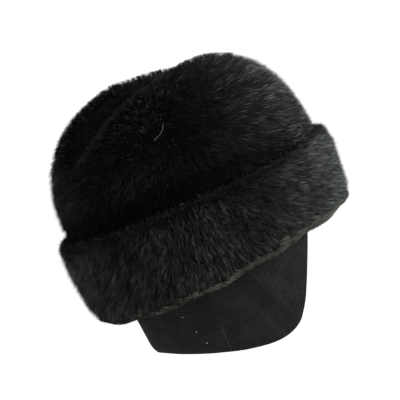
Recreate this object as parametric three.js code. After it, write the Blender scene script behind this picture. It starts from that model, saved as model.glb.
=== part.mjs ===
// A winter hat in three pieces: a domed fur crown with a long dent in its top, a turned-up
// fur cuff round it, and a knitted band that hangs below the rim over the ears and the nape.
// Millimetres, +Z up. The front faces -Y and the wearer's left is +X. The origin is the
// centre of the head opening, in the plane of the rim.
import * as THREE from "three";

// The head opening, and the layers that stand round it from the inside out.
const OPENING_LENGTH = 200;
const OPENING_WIDTH = 160;
const KNIT = 3.5;
const PELT = 4;
const PILE = 11;
const GAP = 0.3;
const BACK_FULLNESS = 0.035; // how much wider the oval is behind than in front

// The cuff and the base of the dome stand this much higher behind, and lower in front.
const BACK_RISE = 11;

// The crown: a straight skirt behind the cuff, a swell of fur above it, then the dome.
const SKIRT_BOTTOM = 1.5;
const DOME_BASE = 68;
const DOME_TOP = 168;
const DOME_SQUARENESS = { front: 2.5, back: 2.2 }; // its profile's exponent, 2 for an ellipse
const FUR_SWELL = 15; // how far the fur stands out from the skirt at the dome's base
const DOME_FORWARD = 4; // the dome's middle is this far in front of the opening's
const SWELL = [
  { z: 30, share: 0 },
  { z: 40, share: 0.2 },
  { z: 50, share: 0.54 },
  { z: 60, share: 0.84 },
];
const LINING_SWELL = [
  { z: 40, share: 0 },
  { z: 66, share: 0.5 },
];

// The crease over the top, front to back, with a round end behind. `from`, `roundsFrom` and
// `to` are degrees along the dome's middle line: 0 at the front, 90 at the top, 180 behind.
const CREASE = { depth: 20, halfWidth: 28, from: 38, roundsFrom: 112, to: 150 };
const CREASE_FADE = { front: 34, back: 22 };
const CREASE_LEAST_HALF_WIDTH = 7;
const CREASE_WELT = { height: 2.6, width: 0.34 }; // the width as a share of the half width

// The soft top sits a little askew: its left ridge is higher than its right, and the ridges
// are shifted along each other, so that it is highest at the left behind.
const TILT = 0.12; // millimetres for each millimetre of x
const SKEW = 0.003; // millimetres for each square millimetre of x times y
const LEFT_SWELL = { height: 3.2, x: 29, y: 12, spread: 27 }; // a fuller place on the left ridge

// The cuff: its section is a rounded bar, thick below and thin where the crown swells.
const CUFF = { bottom: -2.2, top: 67, out: 23.5, centre: 11, squareness: 3.1, lastTurn: 1.12 };
const CUFF_INNER_HEIGHTS = [64, 55, 45, 30]; // of the points down its inner face
const CUFF_INNER_BOTTOM = 1;
const CUFF_CLEARANCE = 1; // between the cuff's inner face and the crown
// How the cuff differs in front: how much lower it starts, how much higher it goes, how much
// further out and how much squarer it is, and how much further its top leans out. Behind, it
// is only a little further out.
const CUFF_IN_FRONT = { drop: 7, rise: 1.4, out: -1.8, squareness: 0.8, lean: 9.6 };
const CUFF_FULLER_BEHIND = 1.6;
const CUFF_SIDE_SAG = 2.6; // how much lower its hem is over the ears than behind
const HEM_WAVES = { count: 13, height: 1.1 };

// The fur lies in locks, each two columns wide and three rows long, proud at its tip. They
// fade out over a few rows at each end of a surface.
const LOCK = { relief: 3, rows: 3, parting: 0.25, unevenness: 0.4, staggerSeed: 7 };
const LOCK_FADE_ROWS = { first: 2, last: 4 };

// How finely each surface is cut.
const COLUMNS = 96;
const DOME_ROWS = 17;
const LINING_ROWS = 7;
const CUFF_ROWS = 12;
const BAND_COLUMNS = 68;

// The knitted band. Each row is one station from the front edge round to the nape: the
// angle from the front where it leaves the crown, the angle of its lower edge, and how far
// that edge hangs below the rim.
const BAND_TOP = 22;
const BAND_STATIONS = [
  { top: 46.5, low: 86, hang: 56.5 },
  { top: 50, low: 88, hang: 64.2 },
  { top: 55, low: 91.5, hang: 70 },
  { top: 63, low: 98, hang: 74.2 },
  { top: 75, low: 107, hang: 74.8 },
  { top: 95, low: 122, hang: 69.3 },
  { top: 121, low: 140, hang: 60.2 },
  { top: 150, low: 160, hang: 52 },
  { top: 180, low: 180, hang: 48.3 },
];
const BAND_ROWS = 5;
const BAND_ROW_CROWDING = 1.6; // how much closer its rows are at the lower edge
const BAND_DRAW_IN = { side: 0.02, back: 0.028, over: 30 }; // as shares, `over` so many mm
const BAND_CURL = { height: 10, in: 2.6 }; // how its lower edge turns in towards the neck
const BAND_FOLD = 1.4; // how far the rounded fold reaches below the two faces

const FUR_COLOUR = 0x0c0c0b;
const CUFF_COLOUR = 0x141514;
const KNIT_COLOUR = 0x1c1c1d;

const radians = THREE.MathUtils.degToRad;
const { lerp, clamp, smoothstep } = THREE.MathUtils;

// A point on the oval that lies `out` millimetres outside the head opening, at an angle
// from the front, at height z.
function ovalPoint(angle, out, z, shrink = 1) {
  const x = (OPENING_WIDTH / 2 + out) * Math.sin(angle);
  const y = -(OPENING_LENGTH / 2 + out) * Math.cos(angle);
  const fullness = 1 - BACK_FULLNESS * Math.cos(angle);
  return new THREE.Vector3(x * fullness * shrink, y * shrink, z);
}

// A number from 0 to 1 that is always the same for the same two whole numbers.
function chance(i, j) {
  const wave = Math.sin(i * 127.1 + j * 311.7) * 43758.5453;
  return wave - Math.floor(wave);
}

// How far the fur stands out at one grid point: each even column is the middle of a lock,
// which rises from its root to its tip, and odd columns are the partings between locks.
function lockHeight(column, row) {
  const lock = Math.floor(column / 2);
  const uneven = chance(lock, row);
  if (column % 2 === 1) return LOCK.relief * LOCK.parting * uneven;
  const stagger = Math.floor(chance(lock, LOCK.staggerSeed) * LOCK.rows);
  const along = ((row + stagger) % LOCK.rows) / (LOCK.rows - 1);
  return LOCK.relief * along * (1 - LOCK.unevenness * uneven);
}

// The locks' share of their full height at one row of a surface with this many rows.
function lockFade(row, rows) {
  const { first, last } = LOCK_FADE_ROWS;
  return smoothstep(row, 0, first) * (1 - smoothstep(row, rows - last, rows));
}

// How far the crease is pushed in at a point above the dome's base, given as shares of the
// dome's length and height, and the point's distance x from the middle plane.
function creaseDepth(x, lengthShare, heightShare) {
  const along = THREE.MathUtils.radToDeg(Math.atan2(heightShare, -lengthShare));
  const { depth, from, roundsFrom, to } = CREASE;
  const { front, back } = CREASE_FADE;
  const past = clamp((along - roundsFrom) / (to - roundsFrom), 0, 1);
  const halfWidth = Math.max(CREASE.halfWidth * Math.sqrt(1 - past ** 2), CREASE_LEAST_HALF_WIDTH);
  const strength = smoothstep(along, from, from + front) * (1 - smoothstep(along, to - back, to));
  const across = Math.abs(x) / halfWidth;
  const valley = across < 1 ? Math.cos((across * Math.PI) / 2) ** 1.5 : 0;
  const welt = CREASE_WELT.height * Math.exp(-(((across - 1) / CREASE_WELT.width) ** 2));
  return strength * (depth * valley - welt);
}

// How much higher the cuff and the dome's base stand at this angle.
function backRise(angle) {
  return -BACK_RISE * Math.cos(angle);
}

// One ring of the dome, at 0 to 1 up it, skewed and creased. `inward` moves it towards the
// head, all round and on top. `relief` gives the height of the fur at each column, which
// shrinks as the columns draw together.
function domeRing(up, inward, relief = () => 0) {
  const turn = (up * Math.PI) / 2;
  const out = KNIT + GAP + PELT + FUR_SWELL;
  const length = OPENING_LENGTH / 2 + out;
  const width = OPENING_WIDTH / 2 + out;
  return Array.from({ length: COLUMNS }, (_, column) => {
    const angle = (column / COLUMNS) * 2 * Math.PI;
    const behind = (1 - Math.cos(angle)) / 2;
    const power = 2 / lerp(DOME_SQUARENESS.front, DOME_SQUARENESS.back, behind);
    const heightShare = Math.sin(turn) ** power;
    const base = DOME_BASE + backRise(angle);
    const rise = DOME_TOP - base;
    const radiusShare = Math.cos(turn) ** power;
    const point = ovalPoint(angle, out, 0, radiusShare);
    const apart = Math.hypot(point.x - LEFT_SWELL.x, point.y - LEFT_SWELL.y);
    const swell = LEFT_SWELL.height * Math.exp(-((apart / LEFT_SWELL.spread) ** 2));
    const askew = ((TILT + SKEW * point.y) * point.x + swell) * heightShare;
    const outward = new THREE.Vector3(
      point.x / width ** 2,
      point.y / length ** 2,
      heightShare / rise,
    ).normalize();
    const crease = creaseDepth(point.x, point.y / length, heightShare);
    const push = inward - relief(column) * radiusShare + crease;
    point.z = base + rise * heightShare + askew;
    point.y -= DOME_FORWARD;
    return point.addScaledVector(outward, -push);
  });
}

// A point on the crown's side, between its skirt and the dome's base, or `clear` outside it.
function sidePoint(angle, z, clear = 0) {
  const rows = [...SWELL, { z: DOME_BASE, share: 1 }];
  const above = Math.max(1, rows.findIndex((row) => row.z >= z));
  const [low, high] = [rows[above - 1], rows[above]];
  const share = lerp(low.share, high.share, (z - low.z) / (high.z - low.z));
  const out = KNIT + GAP + PELT + FUR_SWELL * share + clear;
  const point = ovalPoint(angle, out, z + backRise(angle));
  point.y -= DOME_FORWARD * share;
  return point;
}

// A ring of points, one for each column.
function ringOf(pointAt) {
  return Array.from({ length: COLUMNS }, (_, column) => pointAt((column / COLUMNS) * 2 * Math.PI));
}

// A mesh geometry from points and triangles. Every corner is its own point, so that each
// facet keeps a flat face.
function facets(points, triangles) {
  const corners = triangles.flat().flatMap((index) => points[index].toArray());
  const geometry = new THREE.BufferGeometry();
  geometry.setAttribute("position", new THREE.Float32BufferAttribute(corners, 3));
  geometry.computeVertexNormals();
  return geometry;
}

// Two triangles for each square between rings a and b, whose points start at those places.
function joinRings(triangles, a, b, count) {
  for (let i = 0; i < count; i++) {
    const next = (i + 1) % count;
    if (i % 2 === 0) triangles.push([a + i, b + i, b + next], [a + i, b + next, a + next]);
    else triangles.push([a + i, b + i, a + next], [a + next, b + i, b + next]);
  }
}

// The point over the middle of the head, on the dome's outside or `inward` below it.
function poleOfDome(inward) {
  return new THREE.Vector3(0, -DOME_FORWARD, DOME_TOP - inward - creaseDepth(0, 0, 1));
}

// The crown is one skin that runs from the top of the fur down to the rim and back up the
// inside. Both of its middle points are poles.
function crownGeometry() {
  const skirtOut = KNIT + GAP + PELT;
  const liningOut = KNIT + GAP;
  const skinIn = PELT + PILE;
  const liningSwell = skirtOut + FUR_SWELL - skinIn - liningOut;
  const rings = [];
  for (let row = DOME_ROWS; row >= 0; row--) {
    const relief = (column) => lockFade(row, DOME_ROWS) * lockHeight(column, DOME_ROWS - row);
    rings.push(domeRing(row / (DOME_ROWS + 1), 0, relief));
  }
  for (const { z } of [...SWELL].reverse()) rings.push(ringOf((angle) => sidePoint(angle, z)));
  rings.push(ringOf((angle) => ovalPoint(angle, skirtOut, SKIRT_BOTTOM)));
  rings.push(ringOf((angle) => ovalPoint(angle, liningOut, SKIRT_BOTTOM)));
  for (const { z, share } of LINING_SWELL) {
    const out = liningOut + liningSwell * share;
    rings.push(ringOf((angle) => ovalPoint(angle, out, z + backRise(angle))));
  }
  for (let row = 1; row < LINING_ROWS; row++) rings.push(domeRing(row / LINING_ROWS, skinIn));

  const points = rings.flat();
  const top = points.push(poleOfDome(0)) - 1;
  const under = points.push(poleOfDome(skinIn)) - 1;
  const triangles = [];
  for (let ring = 0; ring + 1 < rings.length; ring++) {
    joinRings(triangles, ring * COLUMNS, (ring + 1) * COLUMNS, COLUMNS);
  }
  const last = (rings.length - 1) * COLUMNS;
  for (let i = 0; i < COLUMNS; i++) {
    const next = (i + 1) % COLUMNS;
    triangles.push([top, i, next], [under, last + next, last + i]);
  }
  return facets(points, triangles);
}

// The cuff's section at one column: over the outside from the hem to the top, then down
// the face that lies against the crown.
function cuffSection(column) {
  const angle = (column / COLUMNS) * 2 * Math.PI;
  const skirtOut = KNIT + GAP + PELT;
  const lift = backRise(angle);
  const waves = HEM_WAVES.height * Math.sin(HEM_WAVES.count * angle);
  const hem = waves - CUFF_SIDE_SAG * Math.sin(angle) ** 2;
  const frontness = smoothstep(Math.cos(angle), 0, 1);
  const behindness = smoothstep(-Math.cos(angle), 0, 1);
  const middle = (CUFF.top + CUFF.bottom) / 2;
  const half = (CUFF.top - CUFF.bottom) / 2;
  const power = 2 / (CUFF.squareness + CUFF_IN_FRONT.squareness * frontness);
  const place = (out, z) => {
    const share = clamp((z - CUFF.bottom) / (CUFF.top - CUFF.bottom), 0, 1);
    const fuller = lerp(-CUFF_IN_FRONT.drop, CUFF_IN_FRONT.rise, share) * frontness;
    const lean = CUFF_IN_FRONT.lean * share * frontness * clamp(out / CUFF.out, 0, 1);
    return ovalPoint(angle, skirtOut + out + lean, z + fuller + lift * share + hem * (1 - share));
  };
  const section = [];
  for (let row = 0; row <= CUFF_ROWS; row++) {
    const turn = lerp(-Math.PI / 2, CUFF.lastTurn, row / CUFF_ROWS);
    const stand = lockFade(row, CUFF_ROWS) * lockHeight(column, CUFF_ROWS - row);
    const fullness = CUFF_IN_FRONT.out * frontness + CUFF_FULLER_BEHIND * behindness;
    const reach = CUFF.out + fullness - CUFF.centre;
    const out = CUFF.centre + reach * Math.cos(turn) ** power;
    const rise = Math.sign(turn) * Math.abs(Math.sin(turn)) ** power;
    section.push(place(out + stand, middle + half * rise));
  }
  for (const z of CUFF_INNER_HEIGHTS) section.push(sidePoint(angle, z, CUFF_CLEARANCE));
  section.push(place(CUFF_CLEARANCE, CUFF_INNER_BOTTOM));
  return section;
}

// A ring: the section at each column, closed on itself both ways.
function cuffGeometry() {
  const sections = Array.from({ length: COLUMNS }, (_, column) => cuffSection(column));
  const rows = sections[0].length;
  const points = [];
  for (let row = 0; row < rows; row++) for (const section of sections) points.push(section[row]);
  const triangles = [];
  for (let row = 0; row < rows; row++) {
    joinRings(triangles, ((row + 1) % rows) * COLUMNS, row * COLUMNS, COLUMNS);
  }
  return facets(points, triangles);
}

// The band's stations from one front edge round the nape to the other, on a smooth curve.
// The second side mirrors the first.
const stationCurve = new THREE.CatmullRomCurve3([
  ...BAND_STATIONS.map(({ top, low, hang }) => new THREE.Vector3(360 - top, 360 - low, hang)),
  ...BAND_STATIONS.toReversed().slice(1).map(({ top, low, hang }) => new THREE.Vector3(top, low, hang)),
]);

// One column of the band: its outer face from the top down, the fold, and its inner face.
function bandColumn(share) {
  const station = stationCurve.getPoint(share);
  const low = -station.z;
  const outer = [];
  const inner = [];
  const at = (down, out, extra = 0) => {
    const angle = radians(lerp(station.x, station.y, down));
    const z = lerp(BAND_TOP, low, down) - extra;
    const drawIn = lerp(BAND_DRAW_IN.side, BAND_DRAW_IN.back, smoothstep(-Math.cos(angle), 0, 1));
    const shrink = 1 - drawIn * smoothstep(BAND_TOP - z, 0, BAND_DRAW_IN.over);
    const curl = BAND_CURL.in * clamp(1 - (z - low) / BAND_CURL.height, 0, 1) ** 2;
    return ovalPoint(angle, out - curl, z, shrink);
  };
  for (let row = 0; row <= BAND_ROWS; row++) {
    const down = 1 - (1 - row / BAND_ROWS) ** BAND_ROW_CROWDING;
    outer.push(at(down, KNIT));
    inner.push(at(down, 0));
  }
  return [...outer, at(1, KNIT / 2, BAND_FOLD), ...inner.reverse()];
}

// The band: a closed loop of points at each column, and a face over each front edge.
function bandGeometry() {
  const columns = [];
  for (let i = 0; i < BAND_COLUMNS; i++) columns.push(bandColumn(i / (BAND_COLUMNS - 1)));
  const rows = columns[0].length;
  const points = columns.flat();
  const triangles = [];
  for (let i = 0; i + 1 < BAND_COLUMNS; i++) joinRings(triangles, i * rows, (i + 1) * rows, rows);
  const last = (BAND_COLUMNS - 1) * rows;
  const fold = BAND_ROWS + 1;
  for (let row = 0; row < BAND_ROWS; row++) {
    const [a, b, c, d] = [row, row + 1, rows - 2 - row, rows - 1 - row];
    triangles.push([a, b, c], [a, c, d]);
    triangles.push([last + a, last + c, last + b], [last + a, last + d, last + c]);
  }
  triangles.push([fold - 1, fold, fold + 1], [last + fold - 1, last + fold + 1, last + fold]);
  return facets(points, triangles);
}

function piece(name, geometry, color, roughness) {
  const material = new THREE.MeshStandardMaterial({ color, roughness, metalness: 0 });
  const mesh = new THREE.Mesh(geometry, material);
  mesh.name = name;
  return mesh;
}

const hat = new THREE.Group();
hat.add(piece("crown", crownGeometry(), FUR_COLOUR, 0.7));
hat.add(piece("cuff", cuffGeometry(), CUFF_COLOUR, 0.65));
hat.add(piece("earflap_band", bandGeometry(), KNIT_COLOUR, 0.95));

export default hat;
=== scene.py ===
import math

import bmesh
import bpy
import numpy as np
from mathutils import Matrix, Vector
from mathutils.bvhtree import BVHTree
from mathutils.kdtree import KDTree


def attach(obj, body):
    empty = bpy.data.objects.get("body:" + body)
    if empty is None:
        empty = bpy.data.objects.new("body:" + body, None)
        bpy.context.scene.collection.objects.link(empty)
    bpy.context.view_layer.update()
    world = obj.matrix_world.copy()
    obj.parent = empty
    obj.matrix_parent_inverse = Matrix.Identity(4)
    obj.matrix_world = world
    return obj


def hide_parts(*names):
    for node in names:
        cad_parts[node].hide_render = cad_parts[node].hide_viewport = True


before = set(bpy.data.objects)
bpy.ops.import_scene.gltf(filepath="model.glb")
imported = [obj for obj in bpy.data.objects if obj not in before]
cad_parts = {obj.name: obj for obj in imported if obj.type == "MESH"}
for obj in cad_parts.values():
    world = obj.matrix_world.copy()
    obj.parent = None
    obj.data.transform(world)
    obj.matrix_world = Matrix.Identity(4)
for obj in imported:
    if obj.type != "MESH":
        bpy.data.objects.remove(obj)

MM = 0.001
NEXT_TO_NONE, LEAST_LENGTH = 1e-9, 1e-12  # they keep a weight or a divisor from being nought
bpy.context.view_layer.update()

# The camera stands behind the wearer's right side, and is rolled as the hat is tipped.
VIEW_AZIMUTH, VIEW_ELEVATION, VIEW_ROLL = 245, 9, 28
VIEW_DISTANCE = 1.160
PIXELS_PER_METRE = 1120
PICTURE_SIDE = 400
SENSOR = 36
ANCHOR = Vector((0, 0, 60 * MM))
ANCHOR_PIXEL = (192.7, 190.8)

# The hat's own measures, as in the part's source, in millimetres.
OPENING_LENGTH, OPENING_WIDTH = 200, 160
KNIT = 3.5
BACK_FULLNESS = 0.035
BACK_RISE = 11
CUFF_TOP = 67
DOME_BASE, DOME_TOP, DOME_FORWARD, DOME_LENGTH = 68, 168, 4, 122.8
CREASE_HALF_WIDTH, CREASE_LEAST_HALF_WIDTH = 28, 7
CREASE_FROM, CREASE_ROUNDS_FROM, CREASE_TO = 38, 112, 150
CREASE_FADE_FRONT, CREASE_FADE_BACK = 34, 22
BAND_TOP = 22
BAND_STATIONS = [
    (46.5, 86, 56.5),
    (50, 88, 64.2),
    (55, 91.5, 70),
    (63, 98, 74.2),
    (75, 107, 74.8),
    (95, 122, 69.3),
    (121, 140, 60.2),
    (150, 160, 52),
    (180, 180, 48.3),
]  # the angle at its top, the angle of its lower edge, and how far that edge hangs
BAND_DRAW_IN_SIDE, BAND_DRAW_IN_BACK, BAND_DRAW_IN_OVER = 0.02, 0.028, 30
BAND_CURL_HEIGHT, BAND_CURL_IN = 10, 2.6
BAND_FOLD = 1.4

# The fur. Depths are below the outside of the solid that a surface of fur stands for.
JOINED_WITHIN = 0.02 * MM  # corners of facets that are nearer than this are one point
SMOOTHING = [0.5, -0.52] * 3  # each pass smooths and then swells back, so that nothing shrinks
FUR_DEPTH = 8 * MM
FUR_WALL_SHARE = 0.55
WALL_SEARCH_FROM = 0.3 * MM  # under the surface, so that a ray doesn't find the surface itself
SETTLE_PASSES, SOFTEN_PASSES = 2, 3
CROWN_FUR_FROM = 48 * MM
CUFF_FUR_TURN = -0.35  # where the cuff's fur ends inside: how far its face turns outward

# Tufts of hairs. A tuft is longer the way the fur lies, and draws its hairs together.
HAIRS_PER_TUFT = 9
TUFTS_NEAR = 6
TUFT_STRETCH = 0.88
TUFT_REACH = 4.5 * MM
LEAST_PULL = 0.1
TUFT_TURN, HAIR_TURN = 0.22, 0.22  # how unevenly the tufts and the hairs face outward

# Each hair: its lowest tip as a share of the depth, how its lean varies, where and how far it
# bends, how its width varies along it and with its tone, and how many hairs are light.
LOWEST_TIP = -0.5
LEAN_SPREAD, LEAST_LEAN = (0.6, 1.3), 0.35
BEND_AT, BEND_OUT, BEND_STRAY = 0.55, 0.1, 0.4 * MM
BEND_WIDTH, WIDTH_SPREAD = 0.8, (0.7, 1.3)
WIDTH_WHEN_DARK, WIDER_WHEN_LIGHT = 0.8, 0.8
TONE_POWER = 1.7  # most are dark and a few are light

# How many hairs there are of each kind, how far their tips stand out, how unevenly, how wide they
# are and how far they lean, how unevenly the tufts and the hairs lie, how much of the way to the
# middle of its tuft a hair is pulled, and how much of its tone is the tuft's. The way the hairs
# lie, how deep they root and the painted light and shade in their colour follow the surface they
# stand on, if nothing else is given. Lengths are in millimetres.
AS_THE_SURFACE = {"way": None, "deepest": 8, "shade": None}
FUR = {
    "underfur": {
        "strands": 54000, "top": -1.0, "uneven": 0.8, "width": 0.5, "lean": 4.0,
        "sway": 0.2, "stray": 0.2, "pull": 0.6, "tuft_tone": 0.5, **AS_THE_SURFACE,
    },
    "guard_hairs": {
        "strands": 62000, "top": 1.45, "uneven": 1.4, "width": 0.26, "lean": 6.0,
        "sway": 0.3, "stray": 0.2, "pull": 0.6, "tuft_tone": 0.5, **AS_THE_SURFACE,
    },
}

# Painted shade: the fur's colour is darkest in the valley where the crown goes down behind the
# cuff, and along the cuff's top edge beside it, but less so in front.
VALLEY_SHADE, VALLEY_FRONT_LIGHT = 0.05, 0.8
VALLEY_HEIGHT = 32 * MM
EDGE_SHADE = 0.12
EDGE_DEPTH = 19 * MM
EDGE_FRONT_FROM, EDGE_FRONT_TO = -38 * MM, -85 * MM

# Lighter and darker places in the fur, partly its own uneven tone and partly painted light and
# shade: the middle and spread in millimetres, and the change.
CROWN_PLACES = [
    (-40, 15, 153, 21, -0.45),
    (-94, 2, 110, 20, -0.3),
    (-70, -66, 131, 24, -0.45),
    (-70, 80, 101, 15, 1.3),
    (-55, 90, 107, 10, 0.5),
]
CUFF_PLACES = [
    (-93, 77, 48, 18, 0.5),
    (-62, 115, 44, 14, 0.2),
    (-52, 122, 20, 16, -0.2),
    (-76, 102, 28, 14, -0.3),
    (-111, 32, 34, 22, -0.2),
    (-112, -4, 36, 26, -0.75),
    (-40, 130, 36, 40, -0.15),
]

# Where some kinds of hairs stand: on the welts of the crease, in the valley, in front where the
# painted glint hairs gather, on the cuff's top edge, and on its hem, whose colour has painted
# light behind.
CREST_WIDTH = 0.05  # of the crease's half width
VALLEY_EDGE = (4 * MM, 18 * MM)  # above the cuff's top
GLINTS_FRONT = (10 * MM, 90 * MM)
GLINTS_ELSEWHERE = 0.03
TOP_EDGE_TURN = 0.25  # how far its face turns up
HEM_COLUMNS = 96
HEM_HEIGHT = (4.2 * MM, 6 * MM)
HEM_TURN = -0.3  # how far its face turns outward
HEM_CLEAR = 0.85
HEM_PAINTED_LIGHT = (40 * MM, 110 * MM)

# The fur flows down the hat, backward behind and ever more forward in front.
FLOW_MIDDLE = 47 * MM
FLOW_BACK = 7.3
FLOW_FRONT_FROM = -10 * MM
FLOW_FRONT = 200
FLOW_OUT = 0.6

# What several materials share, and the pattern of the knit in millimetres.
SHEEN_ROUGHNESS = 0.25
SHEEN_TINT = (1, 1, 0.88, 1)
TONE_RANGE = (0.05, 0.85)  # the tones of the darkest and the lightest colour
FIBRE_PATCHES = {"scale": 28, "detail": 3, "places": (0.35, 0.7), "changes": (0.5, 1.4)}
KNIT_PATCHES = {"scale": 60, "detail": 4, "places": (0.3, 0.7), "changes": (0.75, 1.2)}
FINE = 900  # the scale of the noise in felt and yarn
RIB_PITCH = 2.2
STITCH = 1.7  # the height of one stitch along a rib
RIB_CORNER = 9  # how widely the ribs turn the corner
STITCH_RELIEF, FUZZ_RELIEF = 0.35, 0.5  # of the relief of a rib
# The knit's rib tone is painted shade, darker between the ribs and the stitches; the fuzz tone
# varies at random.
RIB_PAINTED_SHADE, FUZZ_TONE, TONE_FROM = 0.42, 1.1, -0.25  # what the knit's tone is made up of


def way_out(azimuth, elevation):
    """The way out from the hat at these angles in degrees: 0 is in front, 90 on the left."""
    a, e = math.radians(azimuth), math.radians(elevation)
    return Vector((math.sin(a) * math.cos(e), -math.cos(a) * math.cos(e), math.sin(e)))


def camera_axes():
    """The camera's right, up and back, and its place."""
    roll = math.radians(VIEW_ROLL)
    back = way_out(VIEW_AZIMUTH, VIEW_ELEVATION)
    level = Vector((0, 0, 1)).cross(back).normalized()
    upright = back.cross(level)
    right = math.cos(roll) * level - math.sin(roll) * upright
    up = math.sin(roll) * level + math.cos(roll) * upright
    aside = (PICTURE_SIDE / 2 - ANCHOR_PIXEL[0]) / PIXELS_PER_METRE
    above = (ANCHOR_PIXEL[1] - PICTURE_SIDE / 2) / PIXELS_PER_METRE
    place = ANCHOR + right * aside + up * above + back * VIEW_DISTANCE
    return right, up, back, place


def make_camera():
    right, up, back, place = camera_axes()
    data = bpy.data.cameras.new("camera")
    data.sensor_width = SENSOR
    data.lens = SENSOR * VIEW_DISTANCE * PIXELS_PER_METRE / PICTURE_SIDE
    camera = bpy.data.objects.new("camera", data)
    turn = Matrix((right, up, back)).transposed().to_4x4()
    camera.matrix_world = Matrix.Translation(place) @ turn
    bpy.context.scene.collection.objects.link(camera)
    bpy.context.scene.camera = camera


make_camera()


# Small helpers for arrays and for pieces.
def smoothstep(value, low, high):
    share = np.clip((value - low) / (high - low), 0, 1)
    return share * share * (3 - 2 * share)


def unit(vectors):
    return vectors / np.maximum(np.linalg.norm(vectors, axis=-1, keepdims=True), LEAST_LENGTH)


def add_piece(name, mesh, material):
    """Puts a mesh into the scene as a piece of the hat."""
    piece = bpy.data.objects.new(name, mesh)
    bpy.context.scene.collection.objects.link(piece)
    mesh.materials.append(material)
    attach(piece, "root")
    return piece


def point_attribute(mesh, name, values):
    attribute = mesh.attributes.new(name, "FLOAT", "POINT")
    attribute.data.foreach_set("value", values.astype(np.float32))


# Materials. Each one is a small node tree round one Principled shader.
class Nodes:
    """Adds nodes to a new material and links them."""

    def __init__(self, name, **shader_values):
        self.material = bpy.data.materials.new(name)
        self.material.use_nodes = True
        self.tree = self.material.node_tree
        self.shader = self.tree.nodes["Principled BSDF"]
        for socket, value in shader_values.items():
            self.shader.inputs[socket.replace("_", " ")].default_value = value

    def node(self, kind, inputs=None, **settings):
        made = self.tree.nodes.new(kind)
        for key, value in settings.items():
            setattr(made, key, value)
        for key, value in (inputs or {}).items():
            if isinstance(value, bpy.types.NodeSocket):
                self.tree.links.new(value, made.inputs[key])
            else:
                made.inputs[key].default_value = value
        return made

    def link(self, output, socket):
        self.tree.links.new(output, self.shader.inputs[socket])

    def attribute(self, name):
        return self.node("ShaderNodeAttribute", attribute_name=name).outputs["Fac"]

    def noise(self, scale, detail=2.0, roughness=0.5):
        inputs = {"Scale": scale, "Detail": detail, "Roughness": roughness}
        inputs["Vector"] = self.node("ShaderNodeTexCoord").outputs["Object"]
        return self.node("ShaderNodeTexNoise", inputs).outputs["Fac"]

    def ramp(self, value, places, colours):
        """From the first colour to the second while the value goes from place to place."""
        made = self.node("ShaderNodeValToRGB", {"Fac": value})
        for element, place, colour in zip(made.color_ramp.elements, places, colours):
            element.position = place
            element.color = (*colour, 1)
        return made.outputs["Color"]

    def patches(self, colour, scale, detail, places, changes):
        """Makes the colour darker and lighter in soft patches, and gives it to the shader."""
        changes = self.ramp(self.noise(scale, detail), places, [(c, c, c) for c in changes])
        self.link(self.mix(1.0, colour, changes, "MULTIPLY"), "Base Color")

    def mix(self, share, first, second, blend="MIX"):
        """Two colours, of which either may come from another node."""
        first, second = (
            colour if isinstance(colour, bpy.types.NodeSocket) else (*colour, 1)
            for colour in (first, second)
        )
        inputs = {0: share, 6: first, 7: second}  # the colours' sockets among those of all types
        made = self.node("ShaderNodeMix", inputs, data_type="RGBA", blend_type=blend)
        return made.outputs[2]

    def maths(self, operation, *values):
        inputs = dict(enumerate(values))
        return self.node("ShaderNodeMath", inputs, operation=operation).outputs[0]

    def wave(self, value, period):
        """From 0 to 1 and back once in each period of the value."""
        swing = self.maths("COSINE", self.maths("MULTIPLY", value, 2 * math.pi / period))
        return self.maths("MULTIPLY_ADD", swing, -0.5, 0.5)

    def scale(self, colour, factor):
        inputs = {0: colour, "Scale": factor}
        return self.node("ShaderNodeVectorMath", inputs, operation="SCALE").outputs[0]

    def bump(self, height, strength, distance):
        inputs = {"Height": height, "Strength": strength, "Distance": distance}
        self.link(self.node("ShaderNodeBump", inputs).outputs["Normal"], "Normal")


def fibre_material(name, root, dark, light, roughness, shine, sheen=0.0):
    """Hairs: dark at the root, and between two colours at the tip by the tone of each hair."""
    made = Nodes(
        name,
        Roughness=roughness,
        Specular_IOR_Level=shine,
        Sheen_Weight=sheen,
        Sheen_Roughness=SHEEN_ROUGHNESS,
        Sheen_Tint=SHEEN_TINT,
    )
    tip = made.ramp(made.attribute("tone"), TONE_RANGE, (dark, light))
    colour = made.mix(made.attribute("along"), root, tip)
    # The colour is scaled by each hair's painted light and shade, then patched at random.
    made.patches(made.scale(colour, made.attribute("shade")), **FIBRE_PATCHES)
    return made.material


def pelt_material(name, dark, light):
    """The felt that the hairs stand in, which is also the hat's inside."""
    made = Nodes(name, Roughness=0.9, Specular_IOR_Level=0.2)
    felt = made.noise(FINE, detail=4, roughness=0.6)
    made.link(made.ramp(felt, (0.3, 0.75), (dark, light)), "Base Color")
    made.bump(felt, strength=0.5, distance=0.6 * MM)
    return made.material


def knit_material(name, valley, rib):
    """Fine rib knit, from how far each place is from the free edge and how far along it."""
    made = Nodes(name, Roughness=0.95, Specular_IOR_Level=0.05)
    ribs = made.wave(made.attribute("inward"), RIB_PITCH)
    half_turn = made.maths("GREATER_THAN", made.wave(made.attribute("inward"), 2 * RIB_PITCH), 0.5)
    course = made.maths("MULTIPLY_ADD", half_turn, STITCH / 2, made.attribute("course"))
    stitch = made.wave(course, STITCH)
    fuzz = made.noise(FINE, detail=3, roughness=0.7)
    height = made.maths("MULTIPLY_ADD", stitch, STITCH_RELIEF, ribs)
    height = made.maths("MULTIPLY_ADD", fuzz, FUZZ_RELIEF, height)
    # Painted shade: the tone is darker between the ribs and between the stitches, and the fuzz
    # varies it at random.
    tone = made.maths("MULTIPLY", ribs, made.maths("MULTIPLY_ADD", stitch, 0.5, 0.5))
    tone = made.maths("MULTIPLY_ADD", tone, RIB_PAINTED_SHADE, TONE_FROM)
    tone = made.maths("MULTIPLY_ADD", fuzz, FUZZ_TONE, tone)
    made.patches(made.ramp(tone, TONE_RANGE, (valley, rib)), **KNIT_PATCHES)
    made.bump(height, strength=0.8, distance=0.5 * MM)
    return made.material


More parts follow.
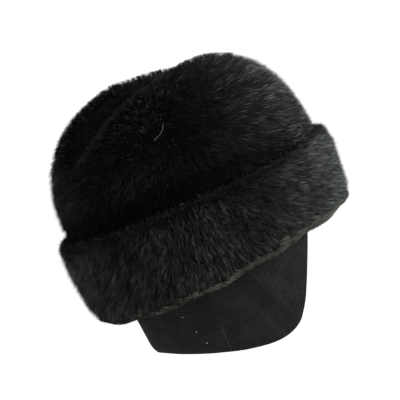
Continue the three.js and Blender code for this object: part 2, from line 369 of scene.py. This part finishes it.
# The surfaces that the fur stands on, read from the frame.
class Surface:
    """A CAD node's mesh with its facets joined: points, normals, triangles and wall depth."""

    def __init__(self, node, slot, is_fur, shade):
        mesh = bmesh.new()
        mesh.from_mesh(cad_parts[node].data)
        bmesh.ops.remove_doubles(mesh, verts=mesh.verts, dist=JOINED_WITHIN)
        mesh.normal_update()
        mesh.verts.ensure_lookup_table()
        self.node = node
        self.slot = slot
        self.shade = shade
        furred = [face for face in mesh.faces if is_fur(face.calc_center_median(), face.normal)]
        chosen = sorted({vert.index for face in furred for vert in face.verts})
        self.edges = np.array([[vert.index for vert in edge.verts] for edge in mesh.edges])
        self.points = np.array([vert.co for vert in mesh.verts])
        self.smooth(chosen)
        for vert, point in zip(mesh.verts, self.points):
            vert.co = point
        mesh.normal_update()
        self.normals = np.array([vert.normal for vert in mesh.verts])
        self.faces = [[vert.index for vert in face.verts] for face in mesh.faces]
        self.triangles = np.array([self.faces[face.index] for face in furred])
        inside = np.zeros(len(self.points), bool)
        inside[np.unique(self.triangles)] = True
        self.depth = self.wall_depths(mesh) * inside
        mesh.free()
        self.settle_depths()

    def neighbour_sums(self, values):
        """The sum of the values at each point's neighbours."""
        a, b = self.edges.T
        total = np.zeros_like(values)
        np.add.at(total, a, values[b])
        np.add.at(total, b, values[a])
        return total

    def smooth(self, chosen):
        """Softens the facets and locks of the chosen points without shrinking the form."""
        count = self.neighbour_sums(np.ones((len(self.points), 1)))
        for factor in SMOOTHING:
            pull = self.neighbour_sums(self.points) / count - self.points
            self.points[chosen] += factor * pull[chosen]

    def wall_depths(self, mesh):
        """How deep the hairs may root at each point: a share of the wall, at most FUR_DEPTH."""
        tree = BVHTree.FromBMesh(mesh)
        depths = np.empty(len(self.points))
        for i, (point, normal) in enumerate(zip(self.points, self.normals)):
            start = Vector(point - normal * WALL_SEARCH_FROM)
            distance = tree.ray_cast(start, Vector(-normal))[3]
            depths[i] = FUR_DEPTH if distance is None else distance * FUR_WALL_SHARE
        return np.minimum(depths, FUR_DEPTH)

    def settle_depths(self):
        """Keeps the depth from jumping between neighbours."""
        a, b = self.edges.T
        for _ in range(SETTLE_PASSES):
            lowest = self.depth.copy()
            np.minimum.at(lowest, a, self.depth[b])
            np.minimum.at(lowest, b, self.depth[a])
            self.depth = lowest
        count = 1 + self.neighbour_sums(np.ones(len(self.depth)))
        for _ in range(SOFTEN_PASSES):
            total = self.depth + self.neighbour_sums(self.depth)
            self.depth = np.where(self.depth > 0, total / count, 0)

    def scatter(self, count, rng, weight=None):
        """Random places on the furred faces: point, normal and depth of each."""
        corners = self.points[self.triangles]
        across = np.cross(corners[:, 1] - corners[:, 0], corners[:, 2] - corners[:, 0])
        areas = np.linalg.norm(across, axis=1)
        if weight is not None:
            areas = areas * weight(corners.mean(axis=1), unit(across))
        chosen = rng.choice(len(areas), count, p=areas / areas.sum())
        share = np.sqrt(rng.random(count))
        turn = rng.random(count)
        shares = np.stack([1 - share, share * (1 - turn), share * turn], axis=1)[..., None]
        index = self.triangles[chosen]
        points = (self.points[index] * shares).sum(axis=1)
        normals = unit((self.normals[index] * shares).sum(axis=1))
        depths = (self.depth[index] * shares[..., 0]).sum(axis=1)
        return points, normals, depths

    def pelt(self, name, material):
        """The base under the hairs, which stands for the CAD node."""
        mesh = bpy.data.meshes.new(name)
        sunk = self.points - self.normals * self.depth[:, None]
        mesh.from_pydata(sunk.tolist(), [], self.faces)
        mesh.shade_smooth()
        piece = add_piece(name, mesh, material)
        modifier = piece.modifiers.new("smooth", "SUBSURF")
        modifier.levels = modifier.render_levels = 1
        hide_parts(self.node)


def back_rise(point):
    """How much higher the cuff's top and the dome's base stand here."""
    from_middle = np.hypot(point[..., 0], point[..., 1])
    return BACK_RISE * MM * point[..., 1] / np.maximum(from_middle, NEXT_TO_NONE)


def is_crown_fur(centre, normal):
    """The crown's outside, from a little under the cuff's top."""
    outward = normal.dot(centre - Vector((0, 0, CROWN_FUR_FROM))) > 0
    return outward and centre.z > CROWN_FUR_FROM + back_rise(np.array(centre))


def is_cuff_fur(centre, normal):
    """The cuff's outside and its two edges."""
    return normal.dot(Vector((centre.x, centre.y, 0)).normalized()) > CUFF_FUR_TURN


def tone_of_places(points, places):
    """How much lighter or darker the listed places make the fur at each point."""
    tone = np.ones(len(points))
    for *middle, spread, change in places:
        distance = np.linalg.norm(points / MM - middle, axis=1)
        tone *= 1 + change * np.exp(-((distance / spread) ** 2))
    return tone


def crown_shade(points, normals):
    """Painted shade in the crown's fur: its colour is darkest beside the cuff's top, but less so
    in front, and changed by the listed places.
    """
    above = points[:, 2] - CUFF_TOP * MM - back_rise(points)
    front = 1 - smoothstep(points[:, 1], EDGE_FRONT_TO, EDGE_FRONT_FROM)
    least = VALLEY_SHADE + VALLEY_FRONT_LIGHT * front
    light = least + (1 - least) * smoothstep(above, 0, VALLEY_HEIGHT)
    return light * tone_of_places(points, CROWN_PLACES)


def cuff_shade(points, normals):
    """Painted shade in the cuff's fur: its colour is darker along its top edge, except in front,
    and changed by the listed places.
    """
    below = CUFF_TOP * MM + back_rise(points) - points[:, 2]
    dark = (1 - EDGE_SHADE) * smoothstep(points[:, 1], EDGE_FRONT_TO, EDGE_FRONT_FROM)
    light = 1 - dark * (1 - smoothstep(below, 0, EDGE_DEPTH))
    return light * tone_of_places(points, CUFF_PLACES)


def near_crest(centres, normals):
    """How near each place is to the welt on either side of the crease, from 0 to 1."""
    x, y, z = (centres / MM).T
    base = DOME_BASE + back_rise(centres) / MM
    height, forward = (z - base) / (DOME_TOP - base), -(y + DOME_FORWARD) / DOME_LENGTH
    along = np.degrees(np.arctan2(height, forward))
    past = np.clip((along - CREASE_ROUNDS_FROM) / (CREASE_TO - CREASE_ROUNDS_FROM), 0, 1)
    half_width = np.maximum(CREASE_HALF_WIDTH * np.sqrt(1 - past**2), CREASE_LEAST_HALF_WIDTH)
    strength = smoothstep(along, CREASE_FROM, CREASE_FROM + CREASE_FADE_FRONT)
    strength *= 1 - smoothstep(along, CREASE_TO - CREASE_FADE_BACK, CREASE_TO)
    across = np.abs(x) / half_width
    return strength * np.exp(-(((across - 1) / CREST_WIDTH) ** 2)) + NEXT_TO_NONE


def near_hem(centres, normals):
    """Along the cuff's lower edge, which waves: its lowest point is found at each angle."""

    def column(points):
        return (np.arctan2(points[:, 0], points[:, 1]) / (2 * np.pi) % 1 * HEM_COLUMNS).astype(int)

    lowest = np.full(HEM_COLUMNS, np.inf)
    np.minimum.at(lowest, column(cuff.points), cuff.points[:, 2])
    above = centres[:, 2] - lowest[column(centres)]
    outward = (normals * unit(centres * (1, 1, 0))).sum(axis=1) > HEM_TURN
    return outward * (1 - smoothstep(above, *HEM_HEIGHT)) + NEXT_TO_NONE


def off_hem(centres, normals):
    """Everywhere on the cuff but on its hem."""
    return 1 - near_hem(centres, normals) * HEM_CLEAR


def hem_painted_light(points, normals):
    """Painted light: the hem's colour is paler behind."""
    return 1 + smoothstep(points[:, 1], *HEM_PAINTED_LIGHT)


def in_valley(centres, normals):
    """Low on the crown, beside the cuff."""
    above = centres[:, 2] - CUFF_TOP * MM - back_rise(centres)
    return 1 - smoothstep(above, *VALLEY_EDGE) + NEXT_TO_NONE


def off_valley(centres, normals):
    """The rest of the crown."""
    return 1 - in_valley(centres, normals) + 2 * NEXT_TO_NONE


def glint_places(centres, normals):
    """Where the painted glint hairs stand: in front, where the fur catches the light, and a few
    elsewhere.
    """
    return GLINTS_ELSEWHERE + smoothstep(-centres[:, 1], *GLINTS_FRONT)


def near_top_edge(centres, normals):
    """The cuff's top edge, where its face turns up."""
    return (normals[:, 2] > TOP_EDGE_TURN) + NEXT_TO_NONE


def along_surface(way, normals):
    return unit(way - normals * (way * normals).sum(axis=1, keepdims=True))


def flow(points, normals):
    """The way the hairs lie at each place, along the surface."""
    forward = FLOW_BACK * (points[:, 1] - FLOW_MIDDLE)
    forward -= FLOW_FRONT * np.minimum(points[:, 1] - FLOW_FRONT_FROM, 0) ** 2
    outward = points * (1, 1, 0)
    way = unit(outward) * FLOW_OUT + np.stack([0 * forward, forward, 0 * forward - 1], axis=1)
    return along_surface(way, normals)


def front_to_back(points, normals):
    """The way along the welts of the crease."""
    return along_surface(np.array((0.0, 1.0, 0.0)), normals)


def round_the_hat(points, normals):
    """The way along the cuff's hem."""
    return along_surface(np.cross((0, 0, 1), unit(points * (1, 1, 0))), normals)


# Hairs. Each is a thin blade of five points: two at the wide root, two at the bend and one at
# the tip, with a face of four corners and one of three. The blades of a like tone share a cell
# of the picture that the map is for.
BLADE_POINTS = 5
BLADE_CORNERS, BLADE_FACES = [0, 1, 2, 3, 3, 2, 4], [0, 4]
BLADE_ALONG = [0, 0, BEND_AT, BEND_AT, 1]
CELL_COLUMNS, CELL_ROWS = 64, 16
CELL_ACROSS = np.array([0.1, 0.9, 0.8, 0.2, 0.5])
CELL_ALONG = np.array([0.05, 0.05, 0.55, 0.55, 0.95])


def blades(name, paths, widths, tones, shades, facing):
    """One mesh of many blades. paths has three points for each, and facing its outward side."""
    count = len(paths)
    heading = unit(paths[:, 2] - paths[:, 0])
    side = unit(np.cross(heading, facing))
    half = side * widths[:, None] / 2
    points = np.stack(
        [
            paths[:, 0] - half,
            paths[:, 0] + half,
            paths[:, 1] + half * BEND_WIDTH,
            paths[:, 1] - half * BEND_WIDTH,
            paths[:, 2],
        ],
        axis=1,
    ).reshape(-1, 3)
    number = np.arange(count)[:, None]
    corners = (BLADE_POINTS * number + BLADE_CORNERS).ravel()
    starts = (len(BLADE_CORNERS) * number + BLADE_FACES).ravel()
    mesh = bpy.data.meshes.new(name)
    mesh.vertices.add(len(points))
    mesh.vertices.foreach_set("co", points.ravel())
    mesh.loops.add(len(corners))
    mesh.loops.foreach_set("vertex_index", corners)
    mesh.polygons.add(len(starts))
    mesh.polygons.foreach_set("loop_start", starts)
    mesh.update(calc_edges=True)
    point_attribute(mesh, "along", np.tile(BLADE_ALONG, count))
    point_attribute(mesh, "tone", np.repeat(tones, BLADE_POINTS))
    # each hair's painted light and shade, which scales its colour
    point_attribute(mesh, "shade", np.repeat(shades, BLADE_POINTS))
    bake_map(mesh, corners, tones)
    mesh.normals_split_custom_set_from_vertices(np.repeat(facing, BLADE_POINTS, axis=0))
    return mesh


def bake_map(mesh, corners, tones):
    """Lays every blade in a small cell of a picture, with blades of a like tone together."""
    cell = np.argsort(np.argsort(tones)) * CELL_COLUMNS * CELL_ROWS // len(tones)
    u = (cell[:, None] % CELL_COLUMNS + CELL_ACROSS) / CELL_COLUMNS
    v = (cell[:, None] // CELL_COLUMNS + CELL_ALONG) / CELL_ROWS
    places = np.stack([u.ravel(), v.ravel()], axis=1)[corners]
    layer = mesh.uv_layers.new(name="OFBake")
    layer.data.foreach_set("uv", places.ravel().astype(np.float32))


def tufts(points, way, rng):
    """Shares the hairs out among tufts, each longer the way the fur lies than across it.

    Returns the number of each hair's tuft, how many tufts there are, and the way from each
    hair to the middle line of its tuft.
    """
    middles = points[rng.choice(len(points), len(points) // HAIRS_PER_TUFT, replace=False)]
    tree = KDTree(len(middles))
    for i, middle in enumerate(middles):
        tree.insert(middle, i)
    tree.balance()
    near = np.array([[found[1] for found in tree.find_n(point, TUFTS_NEAR)] for point in points])
    offset = middles[near] - points[:, None]
    along = (offset * way[:, None]).sum(axis=2)
    across = (offset**2).sum(axis=2) - TUFT_STRETCH * along**2
    rows = np.arange(len(points))
    best = across.argmin(axis=1)
    pull = offset[rows, best] - TUFT_STRETCH * along[rows, best, None] * way
    return near[rows, best], len(middles), pull


def grow(surface, kind, seed, weight=None, **changes):
    """The three points of each hair of one kind, with its width, tone and painted light and shade.
    """
    form = {**FUR[kind], **changes}
    rng = np.random.default_rng(seed)
    count = form["strands"]
    points, normals, depths = surface.scatter(count, rng, weight)
    depths = np.minimum(depths, form["deepest"] * MM)
    shades = (form["shade"] or surface.shade)(points, normals)
    way = (form["way"] or flow)(points, normals)
    tuft, tuft_count, pull = tufts(points, way, rng)
    way = way + rng.normal(scale=form["sway"], size=(tuft_count, 3))[tuft]
    way = along_surface(way + rng.normal(scale=form["stray"], size=way.shape), normals)
    top = (form["top"] + form["uneven"] * rng.normal(size=count)) * MM
    top = np.maximum(top, depths * LOWEST_TIP)
    lean = form["lean"] * MM * rng.uniform(*LEAN_SPREAD, count)
    lean *= np.clip(depths / FUR_DEPTH, LEAST_LEAN, 1)
    pull *= rng.uniform(LEAST_PULL, form["pull"], (count, 1))
    length = np.linalg.norm(pull, axis=1, keepdims=True)
    pull *= np.minimum(1, TUFT_REACH / np.maximum(length, NEXT_TO_NONE))
    tips = points + normals * top[:, None] + pull
    roots = points - normals * depths[:, None] - way * lean[:, None]
    bends = roots * (1 - BEND_AT) + tips * BEND_AT + normals * (depths * BEND_OUT)[:, None]
    bends += rng.normal(scale=BEND_STRAY, size=tips.shape)
    share = form["tuft_tone"]
    tones = share * rng.random(tuft_count)[tuft] + (1 - share) * rng.random(count)
    tones = tones**TONE_POWER
    widths = form["width"] * MM * rng.uniform(*WIDTH_SPREAD, count)
    widths *= WIDTH_WHEN_DARK + WIDER_WHEN_LIGHT * tones
    facing = normals + rng.normal(scale=TUFT_TURN, size=(tuft_count, 3))[tuft]
    facing = unit(facing + rng.normal(scale=HAIR_TURN, size=(count, 3)))
    paths = np.stack([roots, bends, tips], axis=1)
    return paths, widths, tones, shades, facing


def fur_piece(name, surface, kind, material, seed, **choices):
    """Grows hairs of one kind on a surface, as one piece."""
    mesh = blades(name, *grow(surface, kind, seed, **choices))
    add_piece(name, mesh, material)


# Each kind of hair: its colour at the root, and the darkest and the lightest at the tip.
BLACK = (0.001, 0.001, 0.001)
CROWN_DARK, CROWN_LIGHT = (0.0012, 0.0012, 0.0012), (0.021, 0.021, 0.0192)
crown_guard = fibre_material(
    "crown guard hairs", BLACK, CROWN_DARK, CROWN_LIGHT, roughness=0.55, shine=0.04, sheen=0.11
)
crown_under = fibre_material(
    "crown underfur", BLACK, BLACK, (0.003, 0.003, 0.0028), roughness=0.7, shine=0.04
)
cuff_guard = fibre_material(
    "cuff guard hairs", BLACK, (0.005, 0.0057, 0.0049), (0.092, 0.099, 0.091),
    roughness=0.55, shine=0.06, sheen=0.08,
)
cuff_under = fibre_material(
    "cuff underfur", BLACK, (0.003, 0.0031, 0.0029), (0.028, 0.0295, 0.0274),
    roughness=0.7, shine=0.05,
)
# A shaded copy of the crown's guard hairs without sheen, for the painted shade in the valley.
shaded_valley_fibre = fibre_material(
    "shaded valley hairs", BLACK, CROWN_DARK, CROWN_LIGHT, roughness=0.7, shine=0.03
)
# A darker copy of the cuff's guard hairs without sheen: painted shade along the cuff's top edge.
shaded_edge_fibre = fibre_material(
    "shaded cuff edge hairs", BLACK, (0.003, 0.0034, 0.003), (0.07, 0.075, 0.07),
    roughness=0.75, shine=0.03,
)
# Painted glints: sparse light hairs on the crown and the cuff, where the lamp catches the fur in
# front.
glint_fibre = fibre_material(
    "crown painted glint hairs", BLACK, (0.02, 0.02, 0.0185), (0.24, 0.24, 0.223),
    roughness=0.5, shine=0.1,
)
cuff_glint_fibre = fibre_material(
    "cuff painted glint hairs", BLACK, (0.02, 0.023, 0.0215), (0.26, 0.31, 0.285),
    roughness=0.5, shine=0.1,
)
# The crest hairs are lighter than the crown's: painted rim light along the welts of the crease.
crest_rim_light_fibre = fibre_material(
    "crest rim light hairs", BLACK, (0.011, 0.011, 0.0097), (0.06, 0.06, 0.053),
    roughness=0.6, shine=0.08,
)
hem_fibre = fibre_material(
    "hem fibres", (0.04, 0.04, 0.033), (0.05, 0.05, 0.0415), (0.09, 0.09, 0.075),
    roughness=0.7, shine=0.05,
)
lint_fibre = fibre_material(
    "pale lint", (0.25, 0.25, 0.23), (0.3, 0.3, 0.28), (0.5, 0.5, 0.47),
    roughness=0.6, shine=0.2,
)
pelt_base = pelt_material("pelt base", BLACK, (0.004, 0.004, 0.004))
knit = knit_material("rib knit", (0.0008, 0.0008, 0.0008), (0.022, 0.022, 0.0222))

crown = Surface("crown", "crown_fur", is_crown_fur, crown_shade)
cuff = Surface("cuff", "cuff_fur", is_cuff_fur, cuff_shade)

crown.pelt("crown_pelt", pelt_base)
cuff.pelt("cuff_pelt", pelt_base)

# The crown's hairs and the painted glint hairs lie smoothly. The glint hairs are thin and stand
# out evenly.
SMOOTH = {"sway": 0.14, "stray": 0.35, "pull": 0.2, "tuft_tone": 0.15}
LIGHT = {**SMOOTH, "weight": glint_places, "uneven": 0.4, "width": 0.22}
fur_piece(
    "crown_underfur", crown, "underfur", crown_under, seed=11, **SMOOTH, strands=50000, lean=7
)
fur_piece(
    "crown_guard_hairs", crown, "guard_hairs", crown_guard, seed=12,
    **SMOOTH, weight=off_valley, strands=50000, lean=9.5,
)
fur_piece(
    "crown_valley_hairs", crown, "guard_hairs", shaded_valley_fibre, seed=14,
    **SMOOTH, weight=in_valley, strands=14000, lean=9.5,
)
fur_piece(
    "crown_painted_glint_hairs", crown, "guard_hairs", glint_fibre, seed=13,
    **LIGHT, strands=8000, top=2.3, lean=7.5,
)
fur_piece("cuff_underfur", cuff, "underfur", cuff_under, seed=21, weight=off_hem)
fur_piece("cuff_guard_hairs", cuff, "guard_hairs", cuff_guard, seed=22, weight=off_hem)
fur_piece(
    "cuff_painted_glint_hairs", cuff, "guard_hairs", cuff_glint_fibre, seed=23,
    **LIGHT, strands=4500, top=2.2, lean=6,
)
fur_piece(
    "crown_crest_hairs", crown, "guard_hairs", crest_rim_light_fibre, seed=51,
    weight=near_crest, way=front_to_back, strands=6000, deepest=3,
    top=1.9, uneven=0.4, width=0.26, lean=4, sway=0.15, stray=0.2,
)
fur_piece(
    "cuff_hem_fuzz", cuff, "guard_hairs", hem_fibre, seed=31,
    weight=near_hem, way=round_the_hat, shade=hem_painted_light, strands=20000, deepest=1.6,
    top=1.0, uneven=0.3, width=0.42, lean=9, sway=0.06, stray=0.1, tuft_tone=0.2,
)
fur_piece(
    "cuff_edge_hairs", cuff, "guard_hairs", shaded_edge_fibre, seed=41,
    weight=near_top_edge, strands=9000, top=1.4, uneven=1.8, sway=0.8, lean=3,
)


# The knitted band, on the same stations as the solid.
BAND_ROWS, BAND_INNER_ROWS = 100, 20
FRONT_COLUMNS, BACK_COLUMNS = 105, 46
FRONT_SHARE = 0.34
ARC_STEPS = 720
RIB_LINE_FROM, RIB_LINE_STEPS = 107, 64  # the lower edge leads the ribs from this angle on
DRAWN_OUT_UP, DRAWN_OUT = 60, 120  # how far the leading lines go on past the band


def station(share):
    """The band's station at 0 to 1 from the nape to a front edge: a centripetal curve."""
    rows = np.array(BAND_STATIONS[::-1], float)
    beyond_nape = (360 - rows[1][0], 360 - rows[1][1], rows[1][2])
    rows = np.vstack([beyond_nape, rows, 2 * rows[-1] - rows[-2]])
    place = np.clip(share, 0, 1) * (len(rows) - 3)
    index = np.minimum(place.astype(int), len(rows) - 4)
    t = (place - index)[:, None]
    p0, p1, p2, p3 = (rows[index + i] for i in range(4))
    d0, d1, d2 = (
        np.sqrt(np.linalg.norm(b - a, axis=1, keepdims=True))
        for a, b in ((p0, p1), (p1, p2), (p2, p3))
    )
    start = ((p1 - p0) / d0 - (p2 - p0) / (d0 + d1) + (p2 - p1) / d1) * d1
    end = ((p2 - p1) / d1 - (p3 - p1) / (d1 + d2) + (p3 - p2) / d2) * d1
    return (
        p1
        + start * t
        + (3 * (p2 - p1) - 2 * start - end) * t**2
        + (2 * (p1 - p2) + start + end) * t**3
    )


def arc_length(angle):
    """How far round the band's outside an angle from the front lies, in millimetres."""
    turns = np.radians(np.linspace(0, 180, ARC_STEPS + 1))
    x = (OPENING_WIDTH / 2 + KNIT) * np.sin(turns) * (1 - BACK_FULLNESS * np.cos(turns))
    y = -(OPENING_LENGTH / 2 + KNIT) * np.cos(turns)
    steps = np.hypot(np.diff(x), np.diff(y))
    return np.interp(angle, np.degrees(turns), np.concatenate([[0], np.cumsum(steps)]))


def distance_to_line(x, y, line):
    """The least distance from each point to a chain of straight stretches."""
    best = np.full(np.shape(x), np.inf)
    for (ax, ay), (bx, by) in zip(line[:-1], line[1:]):
        dx, dy = bx - ax, by - ay
        t = np.clip(((x - ax) * dx + (y - ay) * dy) / (dx * dx + dy * dy), 0, 1)
        best = np.minimum(best, np.hypot(x - ax - t * dx, y - ay - t * dy))
    return best


def rib_measures(angle, z):
    """How far each point is from the band's free edge, and how far along it, in millimetres."""
    s = arc_length(angle)
    rows = station(np.linspace(0, 1, RIB_LINE_STEPS + 1))
    lower = np.stack([arc_length(rows[:, 1]), -rows[:, 2]], axis=1)
    flat = lower[lower[:, 0] > arc_length(RIB_LINE_FROM)]
    slope = (flat[-1] - flat[-4]) / np.linalg.norm(flat[-1] - flat[-4])
    bottom = np.vstack([flat, flat[-1] + slope * DRAWN_OUT])
    top_end = np.array([arc_length(BAND_STATIONS[0][0]), BAND_TOP])
    low_end = np.array([arc_length(BAND_STATIONS[0][1]), -BAND_STATIONS[0][2]])
    beyond = (low_end - top_end) / np.linalg.norm(low_end - top_end)
    front = np.vstack([top_end - beyond * DRAWN_OUT_UP, low_end + beyond * DRAWN_OUT])
    from_bottom = distance_to_line(s, z, bottom)
    from_front = distance_to_line(s, z, front)
    near = np.maximum(RIB_CORNER - np.abs(from_bottom - from_front), 0) / RIB_CORNER
    inward = np.minimum(from_bottom, from_front) - near**2 * RIB_CORNER / 4
    turn = smoothstep(from_bottom - from_front, -RIB_CORNER, RIB_CORNER)
    return inward, s * (1 - turn) + z * turn


def band_point(side, angle, z, low, out):
    """A point on the band in metres, out millimetres from the head, over an edge at low."""
    turn = np.radians(angle)
    behind = smoothstep(-np.cos(turn), 0, 1)
    draw_in = BAND_DRAW_IN_SIDE + (BAND_DRAW_IN_BACK - BAND_DRAW_IN_SIDE) * behind
    shrink = 1 - draw_in * smoothstep(BAND_TOP - z, 0, BAND_DRAW_IN_OVER)
    out = out - BAND_CURL_IN * np.clip(1 - (z - low) / BAND_CURL_HEIGHT, 0, 1) ** 2
    x = (OPENING_WIDTH / 2 + out) * np.sin(turn) * (1 - BACK_FULLNESS * np.cos(turn))
    y = -(OPENING_LENGTH / 2 + out) * np.cos(turn)
    return np.stack([side * x * shrink, y * shrink, z], axis=-1) * MM


def band_columns():
    """Places round the band from -1 to 1, close together where ribs run up and down."""
    back = np.linspace(0, FRONT_SHARE, BACK_COLUMNS, endpoint=False)
    front = np.linspace(FRONT_SHARE, 1, FRONT_COLUMNS)
    half = np.concatenate([back, front])
    return np.concatenate([-half[:0:-1], half])


def make_band():
    """The band's outer face, its fold and its inner face, as one closed mesh."""
    places = band_columns()
    side = np.where(places < 0, -1.0, 1.0)[:, None]
    stations = station(np.abs(places))
    low = -stations[:, 2:3]
    outer_down = np.linspace(0, 1, BAND_ROWS)
    inner_down = np.linspace(1, 0, BAND_INNER_ROWS)

    def face(down):
        angle = stations[:, 0:1] * (1 - down) + stations[:, 1:2] * down
        return angle, BAND_TOP * (1 - down) + low * down

    angle, z = face(outer_down)
    inward, course = rib_measures(angle, z)
    outer = band_point(side, angle, z, low, np.full_like(z, KNIT))
    fold_angle, fold_z = face(np.array([1.0]))
    fold = band_point(side, fold_angle, fold_z - BAND_FOLD, low, np.full_like(fold_z, KNIT / 2))
    inner_angle, inner_z = face(inner_down)
    inner = band_point(side, inner_angle, inner_z, low, np.zeros_like(inner_z))
    points = np.concatenate([outer, fold, inner], axis=1)
    columns, rows = points.shape[:2]
    inner_inward, inner_course = rib_measures(inner_angle, inner_z)
    inward = np.concatenate([inward, 0 * inward[:, -1:] - BAND_FOLD, inner_inward], axis=1)
    course = np.concatenate([course, course[:, -1:], inner_course], axis=1)

    i, j = np.meshgrid(np.arange(columns - 1), np.arange(rows), indexing="ij")
    here, below = i * rows + j, i * rows + (j + 1) % rows
    faces = np.stack([here, below, below + rows, here + rows], axis=-1).reshape(-1, 4)
    mesh = bpy.data.meshes.new("earflap_knit")
    ends = [list(range(rows))[::-1], [(columns - 1) * rows + k for k in range(rows)]]
    mesh.from_pydata(points.reshape(-1, 3).tolist(), [], faces.tolist() + ends)
    point_attribute(mesh, "inward", inward.ravel())
    point_attribute(mesh, "course", course.ravel())
    mesh.shade_smooth()
    band = add_piece("earflap_knit", mesh, knit)
    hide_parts("earflap_band")


make_band()

# One stray pale hair on the crown, and a thin thread and a few specks of lint on the band: the
# marks that they go through, and other measures, in millimetres.
STRAY_HAIR = [
    (-72.6, 29.0, 129.2), (-74.8, 33.0, 125.6), (-75.0, 37.7, 123.4), (-73.7, 43.5, 122.0),
]
STRAY_HAIR_WIDTH, STRAY_HAIR_OVER = 0.2, 3.6
THREAD = [(-64.1, 65.2, -39.0), (-63.4, 66.2, -50.8), (-62.7, 67.2, -63.8)]
THREAD_WIDTH = 0.08
LINT = [(-46.5, 84.6, -19.5), (-50.0, 81.5, -36.2), (-52.6, 79.1, -48.2)]
LINT_LENGTH, LINT_WIDTH = 1.8, 0.7
STRAND_STEPS = 12
OVER_BAND = 0.7
LINT_SEED = 61


def on_crown(marks):
    """The marks, moved to float just over the crown's fur."""
    tree = KDTree(len(crown.points))
    for i, point in enumerate(crown.points):
        tree.insert(point, i)
    tree.balance()
    for i, mark in enumerate(marks):
        near, index, _ = tree.find(mark)
        normal = crown.normals[index]
        marks[i] = mark + normal * (normal @ (np.array(near) - mark) + STRAY_HAIR_OVER * MM)
    return marks


def on_band(marks):
    """The marks, moved to float just over the knit."""
    return marks + unit(marks * (1, 1, 0)) * OVER_BAND * MM


def strand(marks):
    """A chain of short blades through the marks."""
    place = np.linspace(0, len(marks) - 1, STRAND_STEPS + 1)
    line = np.stack([np.interp(place, range(len(marks)), axis) for axis in marks.T], axis=1)
    return np.stack([line[:-1], (line[:-1] + line[1:]) / 2, line[1:]], axis=1)


def specks(middles, rng):
    """One short blade at each place, lying on the band."""
    outward = unit(middles * (1, 1, 0))
    half = unit(np.cross(rng.normal(size=middles.shape), outward)) * LINT_LENGTH / 2 * MM
    return np.stack([middles - half, middles, middles + half], axis=1)


def make_lint():
    rng = np.random.default_rng(LINT_SEED)
    hair, thread, lint = (np.array(marks) * MM for marks in (STRAY_HAIR, THREAD, LINT))
    for name, paths, width, slot in (
        ("stray_hair", strand(on_crown(hair)), STRAY_HAIR_WIDTH, "crown_fur"),
        ("thread", strand(on_band(thread)), THREAD_WIDTH, "rib_knit"),
        ("lint", specks(on_band(lint), rng), LINT_WIDTH, "rib_knit"),
    ):
        ones = np.ones(len(paths))
        facing = unit(paths[:, 1] * (1, 1, 0))
        mesh = blades(name, paths, ones * width * MM, rng.random(len(paths)), ones, facing)
        add_piece(name, mesh, lint_fibre)


make_lint()


# The stage, soft light from all round, and one soft lamp on the hat's front right. The floor
# lies low, so that it can't hide the hat in a view from below.
FLOOR_Z, FLOOR_HALF_SIDE = -1.6, 20
FLOOR_COLOUR = (0.95, 0.95, 0.95, 1)
WORLD_STRENGTH = 1.15


def make_floor():
    mesh = bpy.data.meshes.new("floor")
    sides = ((-1, -1), (1, -1), (1, 1), (-1, 1))
    corners = [(FLOOR_HALF_SIDE * x, FLOOR_HALF_SIDE * y, FLOOR_Z) for x, y in sides]
    mesh.from_pydata(corners, [], [(0, 1, 2, 3)])
    pale = Nodes("pale floor", Base_Color=FLOOR_COLOUR, Roughness=0.9, Specular_IOR_Level=0.1)
    mesh.materials.append(pale.material)
    floor = bpy.data.objects.new("floor", mesh)
    bpy.context.scene.collection.objects.link(floor)


def make_lamp(name, azimuth, elevation, distance, size, power):
    """A square soft lamp that faces the middle of the hat."""
    back = way_out(azimuth, elevation)
    data = bpy.data.lights.new(name, "AREA")
    data.size = size
    data.energy = power
    lamp = bpy.data.objects.new(name, data)
    lamp.location = ANCHOR + back * distance
    lamp.rotation_mode = "QUATERNION"
    lamp.rotation_quaternion = back.to_track_quat("Z", "Y")
    bpy.context.scene.collection.objects.link(lamp)


def make_world():
    """White all round."""
    world = bpy.data.worlds.new("studio")
    world.use_nodes = True
    background = world.node_tree.nodes["Background"]
    background.inputs["Color"].default_value = (1, 1, 1, 1)
    background.inputs["Strength"].default_value = WORLD_STRENGTH
    bpy.context.scene.world = world
    bpy.context.scene.view_settings.view_transform = "Standard"


make_floor()
make_world()
make_lamp("key", azimuth=322, elevation=4, distance=1.6, size=0.9, power=36)
